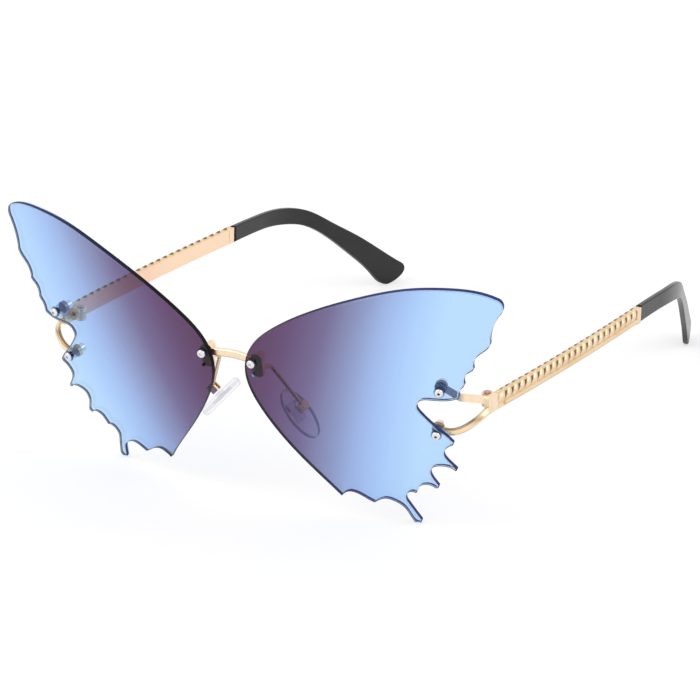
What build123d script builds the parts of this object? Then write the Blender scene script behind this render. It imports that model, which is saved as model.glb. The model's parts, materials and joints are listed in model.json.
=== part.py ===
from build123d import *
from math import atan2, cos, degrees, radians, sin, sqrt
import os

# Rimless butterfly sunglasses, standing open on the two wing tails and the two temple tips.
# +X is the wearer's left seen from the front, the lenses face -Y, the temples run to +Y.
# The origin is on the floor, in the middle of the width and of the depth.
# All lengths are millimetres and all angles are degrees.

# Overall stance
bridge_screw_x = 6.712
lens_centre_setback = 6.65
lens_centre_height = 30.9
wrap_angle = 11.7
tilt_angle = 14.9

# Lens
lens_width = 64.0
lens_height = 67.0
lens_thickness = 1.0
base_radius = 147.6
lens_hole_radius = 0.75
lens_hole_shares = {"inner": (-0.467, 0.121), "upper": (0.250, 0.120), "lower": (0.227, -0.060)}
pin_hole_shares = (-0.4645, 0.073)
cut_overrun = 6.0

# Lens screw stack: dome screw, front washer, flanged sleeve, mounting plate, barrel nut
fit_gap = 0.02
seat_relief = 0.01
screw_end_gap = 0.15
screw_radius = 0.5
screw_head_radius = 1.05
screw_head_height = 0.75
screw_head_rounding = 0.6
washer_radius = 1.3
washer_thickness = 0.25
sleeve_flange_radius = 1.25
sleeve_flange_thickness = 1.0
plate_thickness = 1.0
nut_radius = 1.05
nut_length = 1.6
nut_wall = 0.35
nut_chamfer = 0.2

# Bridge
lug_width = 2.9
lug_top_margin = 1.2
lug_bottom_margin = 1.6
lug_rounding = 1.1
pin_stand = 0.15
pin_radius = 0.4
bridge_bar_height = 1.9
bridge_bar_depth = 1.3
bridge_bar_rounding = 0.45
bridge_drop = 0.55
bridge_rise = 0.1
bridge_back = 0.5

# Nose pads
pad_centre_x = 10.8
pad_centre_setback = 16.55
pad_centre_height = 22.7
pad_lean = 42.5
pad_turn = 7.1
pad_length = 13.4
pad_width = 7.4
pad_thickness = 2.2
pad_rounding = 0.9
pad_lug_thickness = 0.9
pad_lug_radius = 0.9
pad_lug_rise = 1.25
pad_lug_shift = 0.9
pad_lug_side = 0.7
pad_insert_length = 5.0
pad_insert_width = 3.4
pad_insert_thickness = 0.7
box_wall = 0.5
box_side_gap = 0.04
box_end_gap = 0.12
box_lift = 0.5
box_length = 2.1
box_rounding = 0.25
pad_screw_radius = 0.38
pad_screw_clearance = 0.03
pad_screw_head_radius = 0.75
pad_screw_head_height = 0.35
pad_arm_radius = 0.5
pad_arm_root_shift = (0.85, -2.2)
pad_arm_bend_x = 6.9
pad_arm_bend_setback = 9.85
pad_arm_bend_height = 36.35
pad_arm_bend_radius = 1.5

# Hinge
hinge_setback = 25.15
hinge_height = 32.45
hinge_reach = 6.6
barrel_radius = 1.4
barrel_side_gap = 0.12
knuckle_height = 1.0
knuckle_gap = 0.05
hinge_screw_radius = 0.6
hinge_screw_clearance = 0.03
hinge_screw_head_radius = 0.9
hinge_screw_head_height = 0.3
butt_gap = 0.06

# End piece
arm_height = 1.7
arm_thickness = 1.1
arm_lug_radius = 1.5
lower_arm_height = 1.7
lower_arm_thickness = 1.2
lower_arm_rounding = 0.5
arm_bend_share = 0.37
arm_bend_rise = 3.3
arm_bend_radius = 3.0
arm_end_rise = 0.8
lower_arm_low = (-5.95, -10.46, -5.1)
lower_arm_turn = (-2.25, -8.66, -3.15)
lower_arm_end_rise = 1.1
junction_length = 4.4
junction_front_height = 3.8

# Temple
temple_length = 73.9
temple_toe_in = 0.1
temple_drop = 3.1
temple_bow = 0.65
temple_height = 4.0
temple_thickness = 1.3
temple_top_cut = 0.1
block_length = 3.0
link_count = 22
link_pitch = 3.1
link_first = 4.6
link_length = 4.7
link_width = 2.5
link_lean = 52.0
link_sink = 0.6
link_lift = 0.6
link_inset = 0.15
rail_radius = 0.7
rail_sink = 0.25
rail_step = 0.1
collar_length = 2.2
collar_rise = 0.35
collar_rounding = 0.25

# Temple tip
tip_reach = 62.4
tip_thickness = 1.4
tip_edge = 0.35
tip_toe_in = 2.0
tip_turn_start = 13.5
tip_turn_radius = 60.0
tip_turn_angle = 18.5
tip_cut_margin = 4.0
core_height = 1.8
core_thickness = 0.9
core_clearance = 0.03

lens_outline_shares = {
    "inner and top edge": [
        (-0.170, -0.405), (-0.317, -0.237), (-0.442, -0.072), (-0.498, 0.072), (-0.478, 0.167),
        (-0.391, 0.263), (-0.219, 0.370), (-0.031, 0.448), (0.141, 0.494), (0.289, 0.504),
        (0.412, 0.490), (0.459, 0.473),
    ],
    "wing tip": [(0.459, 0.473), (0.483, 0.445), (0.473, 0.418)],
    "first scallop": [(0.473, 0.418), (0.453, 0.385), (0.441, 0.351), (0.438, 0.310)],
    "second scallop": [
        (0.438, 0.310), (0.425, 0.291), (0.388, 0.261), (0.377, 0.240), (0.377, 0.216),
    ],
    "third scallop": [
        (0.377, 0.216), (0.369, 0.207), (0.353, 0.197), (0.342, 0.179), (0.342, 0.154),
    ],
    "fourth scallop": [
        (0.342, 0.154), (0.336, 0.143), (0.325, 0.131), (0.320, 0.116), (0.319, 0.099),
    ],
    "notch": [
        (0.319, 0.099), (0.275, 0.085), (0.212, 0.084), (0.177, 0.078), (0.163, 0.054),
        (0.178, 0.024), (0.222, -0.025), (0.280, -0.085),
    ],
    "lower tab": [(0.280, -0.085), (0.286, -0.096), (0.277, -0.106)],
    "fifth scallop": [
        (0.277, -0.106), (0.256, -0.122), (0.247, -0.142), (0.258, -0.173), (0.287, -0.210),
    ],
    "first tooth": [(0.287, -0.210), (0.286, -0.218), (0.277, -0.215)],
    "sixth scallop": [
        (0.277, -0.215), (0.217, -0.203), (0.195, -0.215), (0.189, -0.237), (0.194, -0.258),
        (0.211, -0.292),
    ],
    "second tooth": [(0.211, -0.292), (0.209, -0.306), (0.198, -0.307)],
    "seventh scallop": [
        (0.198, -0.307), (0.163, -0.295), (0.141, -0.306), (0.133, -0.322), (0.123, -0.340),
    ],
    "eighth scallop": [
        (0.123, -0.340), (0.108, -0.336), (0.091, -0.345), (0.083, -0.363), (0.084, -0.382),
    ],
    "tail outer side": [(0.084, -0.382), (0.123, -0.472)],
    "tail end": [(0.123, -0.472), (0.120, -0.492), (0.098, -0.488)],
    "tail inner side": [
        (0.098, -0.488), (0.086, -0.458), (0.066, -0.415), (0.036, -0.393), (0.003, -0.385),
        (-0.022, -0.396), (-0.043, -0.413),
    ],
    "ninth scallop": [
        (-0.043, -0.413), (-0.070, -0.399), (-0.105, -0.379), (-0.133, -0.375), (-0.155, -0.387),
        (-0.170, -0.405),
    ],
}

# Side view of the tip: along its reach, and up from the floor to the height of the joint
tip_top_shares = [
    (-0.064, 1.074), (0.043, 1.070), (0.155, 1.058), (0.250, 1.044), (0.329, 1.026), (0.412, 0.990),
    (0.506, 0.914), (0.619, 0.754), (0.771, 0.528), (0.957, 0.215), (0.989, 0.165),
]
tip_end_shares = [(0.989, 0.165), (1.0, 0.099), (0.962, 0.027), (0.909, 0.0)]
tip_bottom_shares = [
    (0.909, 0.0), (0.886, 0.018), (0.833, 0.135), (0.710, 0.405), (0.559, 0.686), (0.476, 0.791),
    (0.389, 0.850), (0.271, 0.896), (0.139, 0.918), (0.043, 0.926), (-0.064, 0.930),
]
core_line_shares = [
    (-0.024, 1.0), (0.155, 0.988), (0.268, 0.971), (0.396, 0.918), (0.492, 0.840), (0.588, 0.704),
    (0.732, 0.455), (0.861, 0.224),
]

os.makedirs("parts", exist_ok=True)


def save_pair(node, right_part):
    """Writes the right part and its mirror image, the left part."""
    right_part.label = node + "_right"
    export_step(right_part, "parts/" + node + "_right.step")
    with BuildPart() as left:
        mirror(right_part, about=Plane.YZ)
    left.part.label = node + "_left"
    export_step(left.part, "parts/" + node + "_left.step")


# Frames that more than one piece uses
drop = atan2(temple_drop, temple_length)
toe_in = radians(temple_toe_in)
temple_run = temple_length * cos(drop) * cos(toe_in)
overall_depth = hinge_setback + temple_run + tip_reach
front_y = -overall_depth / 2
wrap = radians(wrap_angle)
tilt = radians(tilt_angle)
lens_facing = Plane(
    origin=(0, front_y + lens_centre_setback, lens_centre_height),
    x_dir=(cos(wrap), sin(wrap), 0),
    z_dir=(sin(wrap) * cos(tilt), -cos(wrap) * cos(tilt), -sin(tilt)),
)


def lens_point(frame, share):
    """Point of the lens's front face at a share of its outline's frame."""
    across = share[0] * lens_width
    up = share[1] * lens_height
    sag = base_radius - sqrt(base_radius**2 - across**2 - up**2)
    return frame.from_local_coords((across, up, -sag))


# The inner screws keep their distance, so a wider lens grows outwards from the bridge
inner_reach = lens_point(lens_facing, lens_hole_shares["inner"]).X
lens_plane = Plane(
    origin=lens_facing.origin + Vector(bridge_screw_x - inner_reach, 0, 0),
    x_dir=lens_facing.x_dir,
    z_dir=lens_facing.z_dir,
)
sphere_centre = lens_plane.origin - lens_plane.z_dir * base_radius


def seat_plane(share):
    """Plane that touches the front face of the right lens at a point of the outline's frame."""
    point = lens_point(lens_plane, share)
    normal = (point - sphere_centre).normalized()
    return Plane(origin=point, x_dir=Vector(0, 0, 1).cross(normal), z_dir=normal)


seats = {place: seat_plane(share) for place, share in lens_hole_shares.items()}
inner_seat = seats["inner"]
pin_point = inner_seat.to_local_coords(seat_plane(pin_hole_shares).origin)
flange_front = lens_thickness + seat_relief
plate_front = flange_front + sleeve_flange_thickness
plate_back = plate_front + plate_thickness
nut_hole_end = plate_back + nut_length - nut_wall
screw_hole_radius = screw_radius + fit_gap

pad_turn_rad = radians(pad_turn)
pad_lean_rad = radians(pad_lean)
pad_plane = Plane(
    origin=(pad_centre_x, front_y + pad_centre_setback, pad_centre_height),
    x_dir=(sin(pad_lean_rad), 0, -cos(pad_lean_rad)),
    z_dir=(
        -cos(pad_lean_rad) * cos(pad_turn_rad),
        sin(pad_turn_rad),
        -sin(pad_lean_rad) * cos(pad_turn_rad),
    ),
)
pad_back = pad_plane.offset(-pad_thickness / 2)
lug_plane = Plane(
    origin=pad_plane.from_local_coords((-pad_lug_shift, pad_lug_side, 0)),
    x_dir=pad_plane.x_dir,
    z_dir=pad_plane.z_dir,
)
lug_back = lug_plane.offset(-pad_thickness / 2)
rock_centre = lug_back.offset(-pad_lug_rise).origin
rock_plane = Plane(origin=rock_centre, x_dir=pad_plane.x_dir, z_dir=-pad_plane.y_dir)

hinge_y = front_y + hinge_setback
temple_outer_x = seats["upper"].origin.X + hinge_reach
barrel_x = temple_outer_x - temple_thickness - barrel_side_gap - barrel_radius
temple_plane = Plane(
    origin=(temple_outer_x, hinge_y, hinge_height),
    x_dir=(-sin(toe_in) * cos(drop), cos(toe_in) * cos(drop), -sin(drop)),
    z_dir=(cos(toe_in), sin(toe_in), 0),
)
joint_plane = Plane(
    origin=temple_plane.from_local_coords((temple_length, 0, -temple_thickness / 2)),
    z_dir=temple_plane.x_dir,
)


# Lens: the outline cut through a spherical shell
with BuildPart() as lens:
    with BuildSketch(lens_plane) as lens_face:
        with BuildLine():
            for shares in lens_outline_shares.values():
                points = [(u * lens_width, v * lens_height) for u, v in shares]
                if len(points) == 2:
                    Line(points)
                elif len(points) == 3:
                    ThreePointArc(points)
                else:
                    Spline(points)
        make_face()
    extrude(amount=lens_width / 2, both=True)
    with Locations(sphere_centre):
        Sphere(base_radius, rotation=(90, 0, 0), mode=Mode.INTERSECT)
        Sphere(base_radius - lens_thickness, rotation=(90, 0, 0), mode=Mode.SUBTRACT)
    for seat in seats.values():
        with BuildSketch(seat.offset(cut_overrun)):
            Circle(lens_hole_radius)
        extrude(amount=-2 * cut_overrun, mode=Mode.SUBTRACT)
    with BuildSketch(inner_seat.offset(cut_overrun)):
        with Locations((pin_point.X, pin_point.Y)):
            Circle(pin_radius + fit_gap)
    extrude(amount=-2 * cut_overrun, mode=Mode.SUBTRACT)
save_pair("lens", lens.part)


# Screw stacks at the three holes of each lens
for place, seat in seats.items():
    washer_plane = seat.offset(washer_thickness)
    with BuildPart() as lens_screw:
        with BuildSketch(washer_plane):
            Circle(screw_head_radius)
        extrude(amount=screw_head_height)
        head_top = lens_screw.faces().sort_by(Axis(seat.origin, seat.z_dir))[-1]
        fillet(head_top.edges(), screw_head_rounding)
        with BuildSketch(washer_plane):
            Circle(screw_radius)
        extrude(amount=-(washer_thickness + nut_hole_end - screw_end_gap))
    save_pair("lens_screw_" + place, lens_screw.part)

    with BuildPart() as lens_washer:
        with BuildSketch(seat):
            Circle(washer_radius)
            Circle(screw_hole_radius, mode=Mode.SUBTRACT)
        extrude(amount=washer_thickness)
    save_pair("lens_washer_" + place, lens_washer.part)

    with BuildPart() as lens_sleeve:
        with BuildSketch(seat):
            Circle(lens_hole_radius - fit_gap)
            Circle(screw_hole_radius, mode=Mode.SUBTRACT)
        extrude(amount=-plate_front)
        with BuildSketch(seat.offset(-flange_front)):
            Circle(sleeve_flange_radius)
            Circle(screw_hole_radius, mode=Mode.SUBTRACT)
        extrude(amount=-sleeve_flange_thickness)
    save_pair("lens_sleeve_" + place, lens_sleeve.part)

    with BuildPart() as lens_nut:
        with BuildSketch(seat.offset(-plate_back)):
            Circle(nut_radius)
        extrude(amount=-nut_length)
        nut_end = lens_nut.faces().sort_by(Axis(seat.origin, seat.z_dir))[0]
        chamfer(nut_end.edges(), nut_chamfer)
        with BuildSketch(seat.offset(-plate_back)):
            Circle(screw_hole_radius)
        extrude(amount=-(nut_length - nut_wall), mode=Mode.SUBTRACT)
    save_pair("lens_nut_" + place, lens_nut.part)


# Bridge: a lug plate with its locking pin behind each lens and a shallow arched bar between them
lug_bottom = pin_point.Y - lug_bottom_margin
bar_start = inner_seat.from_local_coords(
    (-(sleeve_flange_radius + fit_gap), -bridge_drop, -(plate_front + plate_back) / 2)
)
bar_centre = Vector(0, bar_start.Y + bridge_back, bar_start.Z + bridge_rise)
with BuildPart() as screw_way:
    with BuildSketch(inner_seat):
        Circle(screw_hole_radius)
    extrude(amount=-cut_overrun)
with BuildPart() as bridge:
    with BuildSketch(inner_seat.offset(-plate_front)):
        with Locations((0, (lug_top_margin + lug_bottom) / 2)):
            RectangleRounded(lug_width, lug_top_margin - lug_bottom, lug_rounding)
    extrude(amount=-plate_thickness)
    with BuildSketch(inner_seat.offset(-plate_front)):
        with Locations((pin_point.X, pin_point.Y)):
            Circle(pin_radius)
    extrude(amount=plate_front + pin_stand)
    mirror(about=Plane.YZ)
    with BuildLine() as bridge_path:
        Spline(
            bar_start,
            bar_centre,
            Vector(-bar_start.X, bar_start.Y, bar_start.Z),
            tangents=[(-1, 0, 0), (-1, 0, 0)],
        )
    with BuildSketch(Plane(origin=bar_start, x_dir=(0, 0, 1), z_dir=(-1, 0, 0))):
        RectangleRounded(bridge_bar_height, bridge_bar_depth, bridge_bar_rounding)
    sweep(path=bridge_path.line)
    add(screw_way.part, mode=Mode.SUBTRACT)
    mirror(screw_way.part, about=Plane.YZ, mode=Mode.SUBTRACT)
bridge.part.label = "bridge"
export_step(bridge.part, "parts/bridge.step")


# Nose pad arm: a bent wire from the bridge lug to a forked box that holds the pad's lug
box_width = pad_lug_thickness + 2 * box_side_gap + 2 * box_wall
slot_end = pad_lug_rise + pad_lug_radius + box_end_gap
box_top = slot_end + box_wall
arm_root = inner_seat.from_local_coords(
    (pad_arm_root_shift[0], pad_arm_root_shift[1], -plate_front)
)
arm_bend = Vector(pad_arm_bend_x, front_y + pad_arm_bend_setback, pad_arm_bend_height)
arm_end = lug_back.offset(-slot_end).from_local_coords(
    (-box_length / 4, box_width / 2 - pad_arm_radius, 0)
)
with BuildPart() as nose_pad_arm:
    with BuildLine() as pad_arm_path:
        FilletPolyline(arm_root, arm_bend, arm_end, radius=pad_arm_bend_radius)
    with BuildSketch(Plane(origin=arm_root, z_dir=(arm_bend - arm_root).normalized())):
        Circle(pad_arm_radius)
    sweep(path=pad_arm_path.wire())
    split(bisect_by=inner_seat.offset(-plate_back), keep=Keep.BOTTOM)
    with BuildSketch(lug_back.offset(-box_lift)):
        RectangleRounded(box_length, box_width, box_rounding)
    extrude(amount=-(box_top - box_lift))
    with BuildSketch(lug_back):
        Rectangle(2 * box_length, pad_lug_thickness + 2 * box_side_gap)
    extrude(amount=-slot_end, mode=Mode.SUBTRACT)
    with BuildSketch(rock_plane):
        Circle(pad_screw_radius + fit_gap)
    extrude(amount=box_width, both=True, mode=Mode.SUBTRACT)
save_pair("nose_pad_arm", nose_pad_arm.part)


# Nose pad: a soft pad moulded round the plate of its lug
def pad_core(clearance):
    """Plate inside the pad and the neck that leaves it, grown by a clearance."""
    with BuildPart() as core:
        with BuildSketch(lug_plane.offset(-pad_insert_thickness / 2 - clearance)):
            RectangleRounded(
                pad_insert_length + 2 * clearance,
                pad_insert_width + 2 * clearance,
                pad_insert_thickness + clearance,
            )
        extrude(amount=pad_insert_thickness + 2 * clearance)
        with BuildSketch(lug_plane):
            Rectangle(2 * pad_lug_radius + 2 * clearance, pad_lug_thickness + 2 * clearance)
        extrude(amount=-(pad_thickness / 2 + pad_lug_rise))
    return core.part


with BuildPart() as nose_pad_lug:
    add(pad_core(0))
    with BuildSketch(rock_plane):
        Circle(pad_lug_radius)
    extrude(amount=pad_lug_thickness / 2, both=True)
    with BuildSketch(rock_plane):
        Circle(pad_screw_radius + pad_screw_clearance)
    extrude(amount=pad_lug_thickness, both=True, mode=Mode.SUBTRACT)
save_pair("nose_pad_lug", nose_pad_lug.part)

with BuildPart() as nose_pad:
    with BuildSketch(pad_back):
        Ellipse(pad_length / 2, pad_width / 2)
    extrude(amount=pad_thickness)
    pad_faces = nose_pad.faces().sort_by(Axis(pad_plane.origin, pad_plane.z_dir))
    fillet(pad_faces[0].edges() + pad_faces[-1].edges(), pad_rounding)
    add(pad_core(fit_gap), mode=Mode.SUBTRACT)
save_pair("nose_pad", nose_pad.part)

with BuildPart() as nose_pad_screw:
    with BuildSketch(rock_plane.offset(box_width / 2)):
        Circle(pad_screw_head_radius)
    extrude(amount=pad_screw_head_height)
    with BuildSketch(rock_plane.offset(box_width / 2)):
        Circle(pad_screw_radius)
    extrude(amount=-box_width)
save_pair("nose_pad_screw", nose_pad_screw.part)


# End piece: two arms from the outer screws that meet in the block in front of the hinge
barrel_height = 3 * knuckle_height + 2 * knuckle_gap
block_corner = Vector(temple_outer_x, hinge_y, hinge_height)
block_plane = Plane(origin=block_corner, x_dir=(0, 1, 0), z_dir=(1, 0, 0))
upper_seat = seats["upper"]
lower_seat = seats["lower"]
plate_middle = (plate_front + plate_back) / 2
upper_start = upper_seat.offset(-plate_middle).origin
upper_end = Vector(
    temple_outer_x - arm_thickness / 2,
    hinge_y - junction_length / 2,
    hinge_height + arm_end_rise,
)
upper_run = Vector(upper_end.X - upper_start.X, upper_end.Y - upper_start.Y, 0)
upper_plane = Plane(
    origin=(upper_start.X, upper_start.Y, hinge_height),
    x_dir=upper_run,
    z_dir=Vector(upper_run.Y, -upper_run.X, 0),
)
lower_start = lower_seat.offset(-plate_middle).origin
lower_end = Vector(
    temple_outer_x - arm_thickness / 2,
    hinge_y - junction_length / 2,
    hinge_height - junction_front_height / 2 + lower_arm_end_rise,
)
web_end = temple_outer_x - temple_thickness / 2
with BuildPart() as endpiece:
    for seat in (upper_seat, lower_seat):
        with BuildSketch(seat.offset(-plate_front)):
            Circle(arm_lug_radius)
        extrude(amount=-plate_thickness)
    with BuildSketch(upper_plane):
        with BuildLine():
            FilletPolyline(
                (0, upper_start.Z - hinge_height),
                (arm_bend_share * upper_run.length, arm_bend_rise),
                (upper_run.length, arm_end_rise),
                radius=arm_bend_radius,
            )
        trace(line_width=arm_height)
    extrude(amount=arm_thickness / 2, both=True)
    with BuildLine() as lower_path:
        Spline(
            lower_start,
            block_corner + Vector(*lower_arm_low),
            block_corner + Vector(*lower_arm_turn),
            lower_end,
        )
    with BuildSketch(Plane(origin=lower_start, x_dir=(0, 0, 1), z_dir=lower_path.line % 0)):
        RectangleRounded(lower_arm_height, lower_arm_thickness, lower_arm_rounding)
    sweep(path=lower_path.line)
    for seat in (upper_seat, lower_seat):
        for level, reach in ((-plate_front, cut_overrun), (-plate_back, -cut_overrun)):
            with BuildSketch(seat.offset(level)):
                Circle(arm_lug_radius)
            extrude(amount=reach, mode=Mode.SUBTRACT)
        with BuildSketch(seat):
            Circle(screw_hole_radius)
        extrude(amount=-cut_overrun, mode=Mode.SUBTRACT)
    with BuildSketch(block_plane):
        with BuildLine():
            Polyline(
                (0, -temple_height / 2),
                (0, temple_height / 2),
                (-junction_length, junction_front_height / 2),
                (-junction_length, -junction_front_height / 2),
                close=True,
            )
        make_face()
    extrude(amount=-temple_thickness)
    with BuildSketch(Plane.XY.offset(hinge_height)):
        with Locations((barrel_x, hinge_y)):
            Circle(barrel_radius)
        with Locations(((barrel_x + web_end) / 2, hinge_y - barrel_radius / 2)):
            Rectangle(web_end - barrel_x, barrel_radius)
    extrude(amount=barrel_height / 2, both=True)
    with BuildSketch(Plane.XY.offset(hinge_height)):
        with Locations((barrel_x, hinge_y)):
            Rectangle(2 * (barrel_radius + barrel_side_gap), 4 * barrel_radius)
    extrude(amount=knuckle_height / 2 + knuckle_gap, both=True, mode=Mode.SUBTRACT)
    with BuildSketch(Plane.XY.offset(hinge_height)):
        with Locations((barrel_x, hinge_y)):
            Circle(hinge_screw_radius + fit_gap)
    extrude(amount=temple_height, both=True, mode=Mode.SUBTRACT)
save_pair("endpiece", endpiece.part)

with BuildPart() as hinge_screw:
    with BuildSketch(Plane.XY.offset(hinge_height - barrel_height / 2)):
        with Locations((barrel_x, hinge_y)):
            Circle(hinge_screw_radius)
    extrude(amount=barrel_height)
    with BuildSketch(Plane.XY.offset(hinge_height + barrel_height / 2)):
        with Locations((barrel_x, hinge_y)):
            Circle(hinge_screw_head_radius)
    extrude(amount=hinge_screw_head_height)
save_pair("hinge_screw", hinge_screw.part)


# Temple tip and the metal core inside it: a side outline cut through a bent strip
tip_start = joint_plane.origin
tip_toe = radians(tip_toe_in)
tip_heading = Vector(-sin(tip_toe), cos(tip_toe), 0)
tip_side = Vector(cos(tip_toe), sin(tip_toe), 0)


def bent_strip(thickness, clearance):
    """Upright strip that follows the temple from above and turns inwards behind the ear bend."""
    with BuildPart() as strip:
        with BuildSketch(Plane.XY):
            with BuildLine():
                ends = []
                for side in (1, -1):
                    half = side * (thickness / 2 + clearance)
                    start = Vector(tip_start.X, tip_start.Y, 0) + tip_side * half
                    back = start - tip_heading * tip_cut_margin
                    turn = start + tip_heading * tip_turn_start
                    Line(back, turn)
                    arc = JernArc(turn, tip_heading, tip_turn_radius + half, tip_turn_angle)
                    tail = Line(arc @ 1, arc @ 1 + (arc % 1) * tip_reach)
                    ends.append((back, tail @ 1))
                Line(ends[0][0], ends[1][0])
                Line(ends[0][1], ends[1][1])
            make_face()
        extrude(amount=2 * tip_start.Z)
    return strip.part


def side_outline(curves):
    """Block with the given outline, seen from the side, across the whole half width."""
    with BuildPart() as block:
        with BuildSketch(Plane.YZ):
            with BuildLine():
                for curve in curves:
                    if len(curve) == 2:
                        Line(curve)
                    else:
                        Spline(curve)
            make_face()
        extrude(amount=2 * temple_outer_x)
    return block.part


def tip_points(shares):
    """Points of the side view, along +Y and up."""
    return [(tip_start.Y + along * tip_reach, up * tip_start.Z) for along, up in shares]


def tip_core(clearance):
    """Metal core of the tip, grown by a clearance."""
    middle = tip_points(core_line_shares)
    reach = core_height / 2 + clearance
    upper = [(a, b + reach) for a, b in middle]
    lower = [(a, b - reach) for a, b in middle]
    return side_outline(
        [upper, lower, [upper[0], lower[0]], [upper[-1], lower[-1]]]
    ) & bent_strip(core_thickness, clearance)


with BuildPart() as temple_tip:
    add(
        side_outline(
            [
                tip_points(tip_top_shares),
                tip_points(tip_end_shares),
                tip_points(tip_bottom_shares),
                tip_points([tip_bottom_shares[-1], tip_top_shares[0]]),
            ]
        )
    )
    add(bent_strip(tip_thickness, 0), mode=Mode.INTERSECT)
    split(bisect_by=joint_plane, keep=Keep.TOP)
    long_edges = [
        edge
        for edge in temple_tip.edges()
        if edge.length > 2 * tip_thickness
        and joint_plane.to_local_coords(edge.center()).Z > tip_thickness
    ]
    fillet(long_edges, tip_edge)
    add(tip_core(core_clearance), mode=Mode.SUBTRACT)
save_pair("temple_tip", temple_tip.part)


# Temple: a flat bar with the twisted rope of slanted links on its outer face
with BuildPart() as rope_link:
    with BuildSketch(Plane.XY):
        with BuildLine():
            Bezier(
                (-link_length / 2, 0),
                (-link_length / 4, 2 * link_width / 3),
                (link_length / 4, 2 * link_width / 3),
                (link_length / 2, 0),
            )
            Line((-link_length / 2, 0), (link_length / 2, 0))
        make_face()
    revolve(axis=Axis.X)
    split(bisect_by=Plane.XY.offset(-(temple_thickness - link_sink - link_inset)), keep=Keep.TOP)


def bow_at(along):
    """How far the temple's outer face stands out at a distance from the hinge."""
    return 4 * temple_bow * along / temple_length * (1 - along / temple_length)


def bow_turn(along):
    """How far the temple's outer face is turned there, in degrees."""
    return degrees(4 * temple_bow / temple_length * (1 - 2 * along / temple_length))


bow_plane = Plane(
    origin=temple_plane.origin, x_dir=temple_plane.x_dir, z_dir=temple_plane.y_dir
)
bar_top = temple_height / 2 - temple_top_cut
rail_height = -temple_height / 2 + rail_radius + rail_step
with BuildPart() as temple:
    with BuildSketch(bow_plane.offset(-temple_height / 2)):
        with BuildLine():
            for inset in (0, temple_thickness):
                ThreePointArc(
                    (0, inset), (temple_length / 2, inset - temple_bow), (temple_length, inset)
                )
            Line((0, 0), (0, temple_thickness))
            Line((temple_length, 0), (temple_length, temple_thickness))
        make_face()
    extrude(amount=bar_top + temple_height / 2)
    with BuildSketch(temple_plane):
        with Locations((block_length / 2, 0)):
            Rectangle(block_length, temple_height)
    extrude(amount=-temple_thickness)
    with BuildSketch(temple_plane.offset(-temple_thickness)):
        with Locations((temple_length - collar_length / 2, 0)):
            RectangleRounded(collar_length, temple_height, collar_rounding)
    extrude(amount=temple_thickness + collar_rise)
    with BuildLine() as rail_path:
        ThreePointArc(
            *[
                temple_plane.from_local_coords((along, rail_height, bow_at(along) - rail_sink))
                for along in (block_length, temple_length / 2, temple_length - collar_length / 2)
            ]
        )
    with BuildSketch(Plane(origin=rail_path.line @ 0, z_dir=rail_path.line % 0)):
        Circle(rail_radius)
    sweep(path=rail_path.line)
    link_places = [link_first + i * link_pitch for i in range(link_count)]
    with Locations(
        *[
            temple_plane
            * Location((along, link_lift, bow_at(along) - link_sink), (0, -bow_turn(along), 0))
            * Location((0, 0, 0), (0, 0, link_lean))
            for along in link_places
        ]
    ):
        add(rope_link.part)
    split(bisect_by=Plane.XZ.offset(-(hinge_y + butt_gap)), keep=Keep.BOTTOM)
    with BuildSketch(Plane.XY.offset(hinge_height)):
        with Locations((barrel_x, hinge_y)):
            Circle(barrel_radius)
        with Locations(((barrel_x + web_end) / 2, hinge_y + (butt_gap + barrel_radius) / 2)):
            Rectangle(web_end - barrel_x, barrel_radius - butt_gap)
    extrude(amount=knuckle_height / 2, both=True)
    with BuildSketch(Plane.XY.offset(hinge_height)):
        with Locations((barrel_x, hinge_y)):
            Circle(hinge_screw_radius + hinge_screw_clearance)
    extrude(amount=temple_height, both=True, mode=Mode.SUBTRACT)
    add(tip_core(0))
save_pair("temple", temple.part)
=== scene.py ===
import json
import logging
from dataclasses import dataclass
from enum import Enum
from math import atan2, cos, pi, radians, sin, sqrt

import bmesh
import bpy
from bpy.types import ID, Material, Mesh, Node, NodeSocket, NodeTree, Object
from mathutils import Matrix, Vector

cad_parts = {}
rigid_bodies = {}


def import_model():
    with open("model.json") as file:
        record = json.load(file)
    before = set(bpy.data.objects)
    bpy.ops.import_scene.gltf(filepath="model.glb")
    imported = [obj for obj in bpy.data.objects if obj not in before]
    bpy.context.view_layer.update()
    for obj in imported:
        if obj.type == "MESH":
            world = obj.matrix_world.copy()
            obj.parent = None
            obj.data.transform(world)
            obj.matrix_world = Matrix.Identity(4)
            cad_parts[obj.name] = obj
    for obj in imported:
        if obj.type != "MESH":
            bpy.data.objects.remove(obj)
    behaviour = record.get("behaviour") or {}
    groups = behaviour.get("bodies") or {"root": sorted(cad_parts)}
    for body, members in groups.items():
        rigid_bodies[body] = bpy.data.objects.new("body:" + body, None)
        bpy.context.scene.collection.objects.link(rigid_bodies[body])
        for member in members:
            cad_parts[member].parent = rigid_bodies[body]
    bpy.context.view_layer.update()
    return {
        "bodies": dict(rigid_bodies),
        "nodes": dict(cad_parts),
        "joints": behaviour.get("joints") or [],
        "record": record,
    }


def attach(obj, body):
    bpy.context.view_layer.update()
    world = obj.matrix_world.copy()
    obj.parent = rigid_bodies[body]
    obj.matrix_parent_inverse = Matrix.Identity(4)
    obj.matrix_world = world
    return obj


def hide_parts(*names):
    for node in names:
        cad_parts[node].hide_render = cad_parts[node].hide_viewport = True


# Looks of the rimless butterfly sunglasses.
# Lengths in the classes are millimetres and the scene is metres.
# A pair of numbers that feeds a step is where a mask is 0 and where it is 1.
# A grain is its count per metre, its depth and its strength.
MM = 0.001
log = logging.getLogger("butterfly_sunglasses")


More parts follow.
